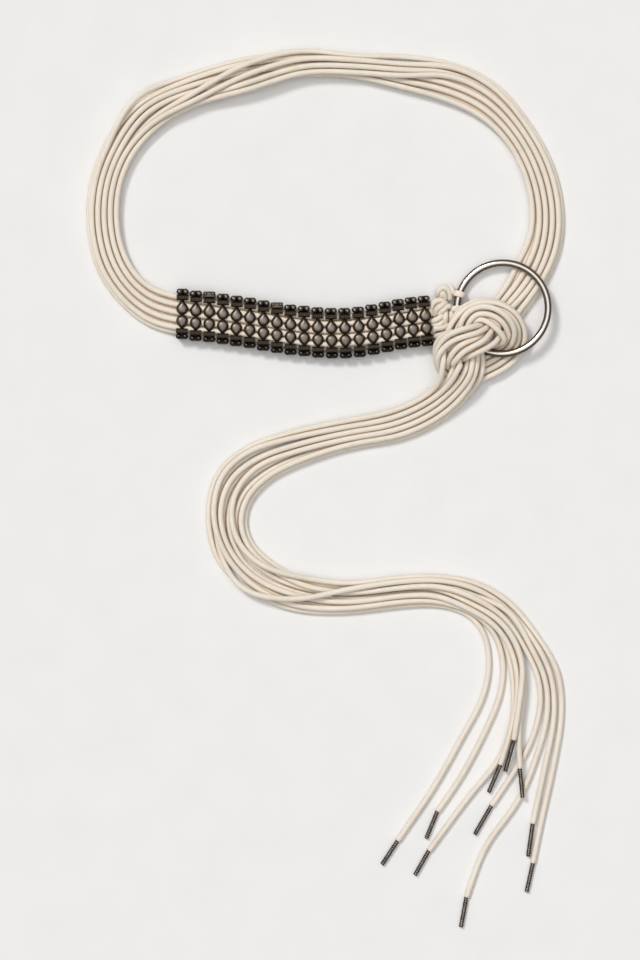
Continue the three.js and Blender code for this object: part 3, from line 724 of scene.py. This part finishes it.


# The castings: black-brown in their low places, lighter on their crowns, with polished end balls, painted
# shade in their narrow gaps and a painted highlight that makes the top balls lighter than the foot balls
def casting_look():
    look = Look("cast_gunmetal", Metallic=0.9)
    place_in = look.place()
    split = look.node("ShaderNodeSeparateXYZ", Vector=place_in)
    raised = look.spread(split.outputs["Z"], *CASTING_ZONES["raised"], 0.0, 1.0)
    from_middle = look.math("ABSOLUTE", split.outputs["Y"])
    on_ball = look.spread(from_middle, *CASTING_ZONES["ball"], 0.0, 1.0)
    top_ball_highlight = look.spread(split.outputs["Y"], *CASTING_ZONES["ball"], 0.0, 1.0)
    on_bar = look.spread(from_middle, *CASTING_ZONES["bar"], 0.0, 1.0)
    wear = look.noise(place_in, 420.0, 5.0, 0.6)
    pits = look.noise(place_in, 1500.0, 3.0, 0.6)
    wear_and_light = look.math("MULTIPLY", raised, look.spread(wear, 0.3, 0.7, 0.4, 0.65))
    wear_and_light = look.math("MULTIPLY", wear_and_light, look.spread(on_bar, 0.0, 1.0, 1.0, 0.62))
    # Painted highlight: the top balls are made lighter than the foot balls
    wear_and_light = look.math("MULTIPLY", wear_and_light, look.spread(top_ball_highlight, 0.0, 1.0, 1.0, 1.5))
    # Painted shade: darker in narrow gaps, such as those between the ribs
    wear_and_light = look.math("MULTIPLY", wear_and_light, look.spread(look.open_to_light(0.0015), 0.3, 0.8, 0.15, 1.0))
    look.colour(look.ramp(wear_and_light, CASTING_COLOURS))
    dull = look.spread(wear, 0.3, 0.7, 0.34, 0.5)
    look.rough(look.math("MULTIPLY", dull, look.spread(on_ball, 0.0, 1.0, 1.0, 0.55)))
    relief = look.math("ADD", look.math("MULTIPLY", pits, 0.5), look.math("MULTIPLY", wear, 0.5))
    look.bump(relief, 0.00012, 0.3)
    return look.material


# Painted shade on the wire's sides, up to a painted highlight along its crown
RING_SIDE_SHADE_AND_HIGHLIGHT = [(0.35, (0.12, 0.095, 0.075)), (0.78, (0.42, 0.365, 0.315)), (0.98, (1.0, 0.97, 0.94))]


# Steel brushed along its wire, with painted shade on the wire's sides and a painted highlight along its crown
def ring_look():
    look = Look("brushed_ring", Metallic=1.0)
    run, around = look.run_and_round()
    drawn_out = look.vector(look.math("MULTIPLY", run, 0.35), look.math("MULTIPLY", around, 90.0))
    lines = look.noise(drawn_out, 1.0, 5.0, 0.6)
    smudges = look.noise(look.place(), 160.0, 3.0)
    blend = look.math("ADD", look.math("MULTIPLY", lines, 0.6), look.math("MULTIPLY", smudges, 0.4))
    steel = look.ramp(blend, [(0.3, (0.50, 0.465, 0.43)), (0.7, (0.62, 0.585, 0.55))])
    # Painted shade and highlight: dark down the wire's sides, bright along its top
    side_shade_and_highlight = look.ramp(look.crown(), RING_SIDE_SHADE_AND_HIGHLIGHT)
    look.colour(look.multiplied(steel, side_shade_and_highlight))
    look.rough(look.spread(blend, 0.3, 0.7, 0.13, 0.22))
    look.bump(lines, 0.00002, 0.2)
    return look.material


FLOOR_COLOURS = [(0.3, (0.825, 0.815, 0.805)), (0.7, (0.845, 0.838, 0.828))]


def floor_look():
    look = Look("pale_floor", Roughness=0.85, Specular_IOR_Level=0.2)
    grain = look.noise(look.place(), 30.0, 4.0)
    look.colour(look.ramp(grain, FLOOR_COLOURS))
    return look.material


# Cords

def cord_pieces(lines, material):
    pieces = []
    for index, line in enumerate(lines):
        node = f"cord_{index + 1:02d}"
        radii = domed(line, CORD["diameter"] / 2, CORD["dome"])
        piece = mesh_object(f"braided_{node}", [tube(line, radii, TUBE["sides"])], material)
        finish_piece(piece, "cord", node)
        pieces.append(piece)
    return pieces


def finish_piece(piece, slot, *nodes):
    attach(piece, "root")
    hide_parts(*nodes)


# Tips: fine wire wound tightly over the end of each cord

WINDING = {"pitch": 1.7, "wire": 0.3, "crest": 0.7, "uneven": 0.08, "waves": (0.9, 2.1), "dome": 0.7,
           "sides": 20, "steps_a_turn": 12}


def wound_rod(start, end):
    length = np.linalg.norm(end - start)
    steps = round(length / WINDING["pitch"] * WINDING["steps_a_turn"])
    at = np.linspace(0, length, steps + 1)
    line = start + (end - start) * (at / length)[:, None]
    sideways, upward = frames_along(line)
    sides = np.arange(WINDING["sides"]) / WINDING["sides"]
    phase = at[:, None] / WINDING["pitch"] - sides[None, :]
    ridge = np.abs(np.sin(math.pi * phase)) ** WINDING["crest"]
    slow, quick = WINDING["waves"]
    swell = WINDING["uneven"] * (np.sin(at * slow) * np.sin(at * quick))[:, None]
    radii = TIP["diameter"] / 2 + swell - WINDING["wire"] * (1 - ridge)
    radii *= domed(line, 1.0, WINDING["dome"])[:, None]
    angles = 2 * math.pi * sides
    offsets = offsets_round(angles, sideways, upward)
    return Rings(line[:, None] + offsets * radii[:, :, None], at)


def tip_piece(index, start, end, material):
    node = f"tip_{index + 1:02d}"
    piece = mesh_object(f"wound_{node}", [wound_rod(start, end)], material)
    finish_piece(piece, "tip", node)
    return piece


# Ring

def ring_piece(material):
    steps, sides = 200, 28
    turn = 2 * math.pi * np.arange(steps) / steps
    round_wire = 2 * math.pi * np.arange(sides) / sides
    tilt = np.array(ring_tilt().to_matrix())
    radius = RING_RADIUS + np.cos(round_wire) * RING["wire"] / 2
    flat = np.stack([np.cos(turn)[:, None] * radius, np.sin(turn)[:, None] * radius,
                     np.broadcast_to(np.sin(round_wire) * RING["wire"] / 2, (steps, sides))], axis=2)
    places = flat @ tilt.T + place(*RING["centre"], RING["height"])
    return closed_ring("smooth_ring", places, material)


def closed_ring(name, places, material):
    steps, sides = places.shape[:2]
    step, side = grid(steps, sides)
    next_step, next_side = (step + 1) % steps, (side + 1) % sides
    faces = np.stack([step * sides + side, next_step * sides + side, next_step * sides + next_side,
                      step * sides + next_side], axis=1)
    millimetres = 2 * math.pi * RING_RADIUS / steps
    low, high = step * millimetres, (step + 1) * millimetres
    coordinates = np.stack([low, side / sides, high, side / sides, high, (side + 1) / sides, low,
                            (side + 1) / sides], axis=1)
    mesh = bpy.data.meshes.new(name)
    mesh.from_pydata((places.reshape(-1, 3) * MM).tolist(), [], faces.tolist())
    mesh.uv_layers.new(name=MAP_NAME).data.foreach_set("uv", coordinates.astype(np.float32).ravel())
    mesh.polygons.foreach_set("use_smooth", [True] * len(mesh.polygons))
    mesh.materials.append(material)
    piece = bpy.data.objects.new(name, mesh)
    bpy.context.scene.collection.objects.link(piece)
    finish_piece(piece, "ring", "ring")
    return piece


# Castings, about their own middle, with y towards the top of the ornament

DROPS = [
    # middle of the bulb, its radius, distance from there to the point, way that the point looks
    (3.5, 4.2, 6.4, 1),
    (-5.0, 4.15, 5.8, -1),
]
DROP_RINGS = [
    # share of the outline, height over the ornament's back in mm
    (1.0, 0.0), (1.0, 0.6), (0.97, 0.85), (0.91, 0.95), (0.86, 0.85), (0.83, 1.3), (0.77, 1.75), (0.67, 2.1),
    (0.53, 2.35), (0.36, 2.5), (0.18, 2.58), (0.02, 2.6),
]
BARS = [
    # near and far edge, height of the rails over the ornament's back
    (9.7, 13.4, 2.2),
    (-14.2, -10.5, 2.2),
]
BALLS = [
    # distance along, radius, height of the top
    (15.75, 2.2, 12.2),
    (-16.0, 2.1, 11.3),
]
DROP_POINT = {"angle": 1.35, "sharpness": 3.6}
RIB = {"count": 6, "width": 0.66, "height": 2.05, "floor": 0.9, "rail": 0.7, "lap": 0.1, "corner": 0.16}
BAR = {"inset": 0.2, "sunk": 0.6, "floor_corner": 0.35, "rail_corner": 0.3}
BALL = {"steps": 17, "sides": 18, "pole": 0.02}
SPINE = {"half_width": 1.3, "foot": -11.0, "head": 10.2, "sunk": 0.7, "height": 0.45, "corner": 0.3}
FRAME = {"inset": 0.4, "back_corner": 0.4, "wall_foot": 0.2, "wall_rise": 0.6, "wall_corner": 0.5}
BLOCK_TOP = {"low": 13.6, "high": 17.9, "top": 11.2, "inset": 0.1, "sunk": 1.5, "corner": 0.9,
             "boss": 1.3, "boss_at": (2.7, 16.3), "boss_top": 12.1}
BLOCK_TOP_NUMBERS = (3, 8)


def drop_outline(radius, reach):
    angles = np.concatenate([np.linspace(0, 0.5, 9), np.linspace(0.6, 1.5, 8), np.linspace(1.65, math.pi, 8)])
    angles = np.concatenate([angles, 2 * math.pi - angles[-2:0:-1]])
    from_point = np.minimum(angles, 2 * math.pi - angles)
    narrowing = np.clip(1 - from_point / DROP_POINT["angle"], 0, 1) ** DROP_POINT["sharpness"]
    r = radius + (reach - radius) * narrowing
    return np.stack([r * np.sin(angles), r * np.cos(angles)], axis=1)[::-1]


def drop(middle, radius, reach, way):
    base = CASTING["depth"] - CASTING["front"]
    outline = drop_outline(radius, reach) * (way, way)
    rings = [np.column_stack([outline * share + (0, middle), np.full(len(outline), base + height)])
             for share, height in DROP_RINGS]
    return Rings(rings)


def rounded_outline(half_x, half_y, corner, steps=4):
    turns = np.linspace(0, math.pi / 2, steps)
    quarter = np.stack([np.cos(turns), np.sin(turns)], axis=1) * corner
    centre = np.array([half_x - corner, half_y - corner])
    found = []
    for turn, (sx, sy) in enumerate([(1, 1), (-1, 1), (-1, -1), (1, -1)]):
        arc = quarter @ np.array(Matrix.Rotation(-turn * math.pi / 2, 2))
        found.append(arc + centre * (sx, sy))
    return np.concatenate(found)


# The edges round a block's foot and top: distance from its end and inset, as shares of its corner
FOOT_EDGE = [(0, 0.6), (0.6, 0)]
TOP_EDGE = [(0.6, 0), (0.15, 0.35), (0, 0.9)]


# A block with rounded edges between two opposite corners
def block(low, high, corner):
    low, high = np.array(low, float), np.array(high, float)
    middle, half = (low + high) / 2, (high - low) / 2
    levels = [(low[2] + corner * share, inset) for share, inset in FOOT_EDGE]
    levels += [(high[2] - corner * share, inset) for share, inset in TOP_EDGE]
    rings = []
    for height, inset in levels:
        outline = rounded_outline(half[0] - corner * inset, half[1] - corner * inset, corner)
        rings.append(np.column_stack([outline + middle[:2], np.full(len(outline), height)]))
    return Rings(rings)


def ball(centre, radius):
    at = -np.cos(np.linspace(BALL["pole"], math.pi - BALL["pole"], BALL["steps"])) * radius
    across = np.sqrt(np.maximum(radius ** 2 - at ** 2, 1e-4))
    line = np.column_stack([at, np.zeros(len(at)), np.zeros(len(at))]) + np.array(centre)
    return tube(line, across, BALL["sides"])


# A plain block with a small boss on each of its outer corners, which two of the castings have
def block_top_parts():
    half = CASTING["width"] / 2 - BLOCK_TOP["inset"]
    foot = CASTING["depth"] - CASTING["front"] - BLOCK_TOP["sunk"]
    low, high = (-half, BLOCK_TOP["low"], foot), (half, BLOCK_TOP["high"], BLOCK_TOP["top"])
    x, y = BLOCK_TOP["boss_at"]
    height = BLOCK_TOP["boss_top"] - BLOCK_TOP["boss"]
    bosses = [ball((side * x, y, height), BLOCK_TOP["boss"]) for side in (-1, 1)]
    return [block(low, high, BLOCK_TOP["corner"])] + bosses


def ribbed_bar(near, far, height):
    base = CASTING["depth"] - CASTING["front"]
    half = CASTING["width"] / 2 - BAR["inset"]
    rail, lap = RIB["rail"], RIB["lap"]
    parts = [block((-half, near, base - BAR["sunk"]), (half, far, base + RIB["floor"]), BAR["floor_corner"])]
    for edge in (near, far - rail):
        parts.append(block((-half, edge, base), (half, edge + rail, base + height), BAR["rail_corner"]))
    pitch = 2 * half / RIB["count"]
    for rib in range(RIB["count"]):
        x = -half + pitch * (rib + 0.5)
        low = (x - RIB["width"] / 2, near + rail - lap, base)
        high = (x + RIB["width"] / 2, far - rail + lap, base + RIB["height"])
        parts.append(block(low, high, RIB["corner"]))
    return parts


def ball_pair(y, radius, top):
    beside = CASTING["width"] / 2 - radius
    return [ball((x, y, top - radius), radius) for x in (-beside, beside)]


# The spine behind the drops, the flat back and the two end walls that the cords run between
def frame_parts(base):
    end = CASTING["length"] / 2 - FRAME["inset"]
    side = CASTING["strut"] / 2
    low = (-SPINE["half_width"], SPINE["foot"], base - SPINE["sunk"])
    high = (SPINE["half_width"], SPINE["head"], base + SPINE["height"])
    parts = [block(low, high, SPINE["corner"])]
    parts.append(block((-side, -end, 0.0), (side, end, CASTING["back"]), FRAME["back_corner"]))
    for way in (-1, 1):
        near, far = sorted((way * (end - CASTING["wall"]), way * end))
        low, high = (-side, near, FRAME["wall_foot"]), (side, far, base + FRAME["wall_rise"])
        parts.append(block(low, high, FRAME["wall_corner"]))
    return parts


def casting_parts(block_top):
    parts = [drop(*row) for row in DROPS]
    for row in BARS:
        parts += ribbed_bar(*row)
    top_balls, foot_balls = BALLS
    parts += block_top_parts() if block_top else ball_pair(*top_balls)
    parts += ball_pair(*foot_balls)
    return parts + frame_parts(CASTING["depth"] - CASTING["front"])


def casting_pieces(material):
    meshes = {}
    for number, lean in enumerate(LEANS, 1):
        block_top = number in BLOCK_TOP_NUMBERS
        node = f"casting_{number:02d}"
        if block_top not in meshes:
            piece = mesh_object(f"cast_{node}", casting_parts(block_top), material)
            meshes[block_top] = piece.data
        else:
            piece = bpy.data.objects.new(f"cast_{node}", meshes[block_top])
            bpy.context.scene.collection.objects.link(piece)
        low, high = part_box(node)
        piece.location = ((low.x + high.x) / 2, (low.y + high.y) / 2, 0)
        piece.rotation_euler.z = math.radians(lean)
        finish_piece(piece, "casting", node)


# Macrame, as strands in plan pixels with their heights in mm, for each solid that they stand for

STRANDS = {
    "macrame_knot_1": [
        [(437, 298, 3.0), (438, 291.5, 7.0), (443.5, 288.2, 8.2), (448.5, 292, 7.2), (449.5, 301, 3.8)],
        [(441, 300, 4.0), (442.5, 294, 8.6), (446, 300, 5.0)],
        [(445, 287.5, 3.6), (449.8, 287.0, 5.4), (452.2, 291.5, 6.6), (452.5, 295.0, 5.6)],
    ],
    "macrame_knot_2": [
        [(431.5, 317, 3.0), (431.0, 308, 7.0), (434.5, 302.2, 8.6), (441, 301, 8.2), (446.5, 306, 4.6)],
        [(434.5, 317, 3.2), (436.5, 309.5, 9.2), (441.5, 306, 9.6), (446.5, 302.5, 6.0)],
        [(437.5, 315.5, 5.0), (442, 311, 8.4), (447, 307, 7.6), (451, 307, 6.2)],
    ],
    "macrame_knot_3": [
        [(429.5, 321, 2.8), (433.5, 321.2, 7.0), (438.5, 318.8, 8.0), (443, 315, 5.0)],
        [(432, 323, 3.2), (436, 326, 6.6), (440.5, 324, 6.8), (443, 318, 4.2)],
    ],
    "macrame_knot_4": [
        [(445.4, 309.5, 4.0), (445.2, 317, 7.4), (445.2, 326, 4.0)],
        [(451.2, 311, 3.4), (451.3, 316, 6.2), (450.2, 322, 3.6)],
    ],
    "macrame_knot_5": [
        [(431.5, 334.5, 2.8), (434.5, 329.5, 6.2), (441, 328.5, 7.0), (447.5, 326.5, 6.2), (453, 322.5, 3.4)],
        [(433.5, 337, 2.8), (439, 335.6, 5.8), (446, 333.2, 6.2), (452.6, 328, 3.8)],
    ],
    "macrame_tail": [
        [(454, 337, 3.0), (447, 339, 3.4), (439, 341.6, 3.2), (434.6, 346, 2.4), (435.2, 350.6, 2.1),
         (439.5, 351.6, 2.0)],
    ],
}
STRAND = {"diameter": 4.0, "tail_diameter": 3.4, "sides": 16, "step": 0.8}
LOOP_STRAND = {"thick": 2.0, "wide": 4.4, "sunk": 0.3, "slip": 0.6, "around": 20, "steps": 40}


def macrame_pieces(material):
    for node, strands in STRANDS.items():
        diameter = STRAND["tail_diameter"] if node == "macrame_tail" else STRAND["diameter"]
        parts = []
        for points in strands:
            line = smooth([place(*point) for point in points], STRAND["step"])
            parts.append(tube(line, domed(line, diameter / 2, diameter / 2), STRAND["sides"]))
        piece = mesh_object(f"knotted_{node}", parts, material)
        finish_piece(piece, "cord", node)


# A flat loop of cord round the ring's wire
def ring_loop_piece(number, angle, material):
    centre = ring_point(math.radians(angle), RING_RADIUS)
    before, after = [ring_point(math.radians(angle + step), RING_RADIUS) for step in (-1, 1)]
    along = unit(after - before)
    outward = unit(centre - place(*RING["centre"], RING["height"]))
    upward = np.cross(along, outward)
    middle = RING_LOOP["inner"] - LOOP_STRAND["sunk"] + LOOP_STRAND["thick"] / 2
    turns = np.linspace(0, 2 * math.pi, LOOP_STRAND["steps"] + 1)
    sides = 2 * math.pi * np.arange(LOOP_STRAND["around"]) / LOOP_STRAND["around"]
    rings = []
    for turn in turns:
        radial = outward * math.cos(turn) + upward * math.sin(turn)
        slip = along * (turn / math.pi - 1) * LOOP_STRAND["slip"]
        thick = radial[None, :] * (np.cos(sides) * LOOP_STRAND["thick"] / 2)[:, None]
        wide = along[None, :] * (np.sin(sides) * LOOP_STRAND["wide"] / 2)[:, None]
        rings.append(centre + slip + radial * middle + thick + wide)
    piece = mesh_object(f"looped_ring_loop_{number}", [Rings(rings, turns * middle)], material)
    finish_piece(piece, "cord", f"ring_loop_{number}")


# Floor and light, in metres

FLOOR = {"half_side": 6.0, "height": -0.0001}
KEY_LIGHT = {"from": (-0.62, 0.72, 1.25), "spread": 13.0, "strength": 1.5, "colour": (1.0, 0.99, 0.975)}

# A large soft light straight above: the height of a direction in the sky, and its share of the brightness
SKY = [(0.0, 0.05), (0.5, 0.12), (0.8, 0.26), (0.95, 1.0)]
SKY_STRENGTH = 1.75


def add_floor():
    mesh = bpy.data.meshes.new("floor")
    side = FLOOR["half_side"]
    corners = [(x * side, y * side, FLOOR["height"]) for x, y in ((-1, -1), (1, -1), (1, 1), (-1, 1))]
    mesh.from_pydata(corners, [], [(0, 1, 2, 3)])
    mesh.materials.append(floor_look())
    floor = bpy.data.objects.new("floor", mesh)
    bpy.context.scene.collection.objects.link(floor)


def add_key_light():
    data = bpy.data.lights.new("key", "SUN")
    data.angle = math.radians(KEY_LIGHT["spread"])
    data.energy = KEY_LIGHT["strength"]
    data.color = KEY_LIGHT["colour"]
    lamp = bpy.data.objects.new("key", data)
    lamp.location = KEY_LIGHT["from"]
    lamp.rotation_euler = (-Vector(KEY_LIGHT["from"])).to_track_quat("-Z", "Y").to_euler()
    bpy.context.scene.collection.objects.link(lamp)


def add_sky():
    world = bpy.data.worlds.new("studio")
    world.use_nodes = True
    nodes, links = world.node_tree.nodes, world.node_tree.links
    direction = nodes.new("ShaderNodeTexCoord")
    split = nodes.new("ShaderNodeSeparateXYZ")
    ramp = nodes.new("ShaderNodeValToRGB")
    set_stops(ramp, [(height, (share, share, share)) for height, share in SKY])
    background = nodes["Background"]
    background.inputs["Strength"].default_value = SKY_STRENGTH
    links.new(direction.outputs["Generated"], split.inputs[0])
    links.new(split.outputs["Z"], ramp.inputs["Fac"])
    links.new(ramp.outputs["Color"], background.inputs["Color"])
    bpy.context.scene.world = world


def add_light():
    add_key_light()
    add_sky()
    bpy.context.scene.view_settings.view_transform = "Standard"


def main():
    add_camera()
    fixed = obstacles()
    routes = settle([draft_route(cord) for cord in range(1, 11)], fixed)
    split = [split_tip(route) for route in routes]
    lines = settle_smooth([route for route, _, _ in split], fixed)
    cords = cord_pieces(lines, cord_look("waxed_cord"))
    tip_material = wire_look()
    for index, (cord, line) in enumerate(zip(cords, lines)):
        _, start, end = split[index]
        tip_piece(index, start, end, tip_material)
    ring_piece(ring_look())
    casting_pieces(casting_look())
    macrame_material = cord_look("macrame_cord")
    macrame_pieces(macrame_material)
    for number, angle in enumerate(RING_LOOP_ANGLES, 1):
        ring_loop_piece(number, angle, macrame_material)
    add_floor()
    add_light()


main()
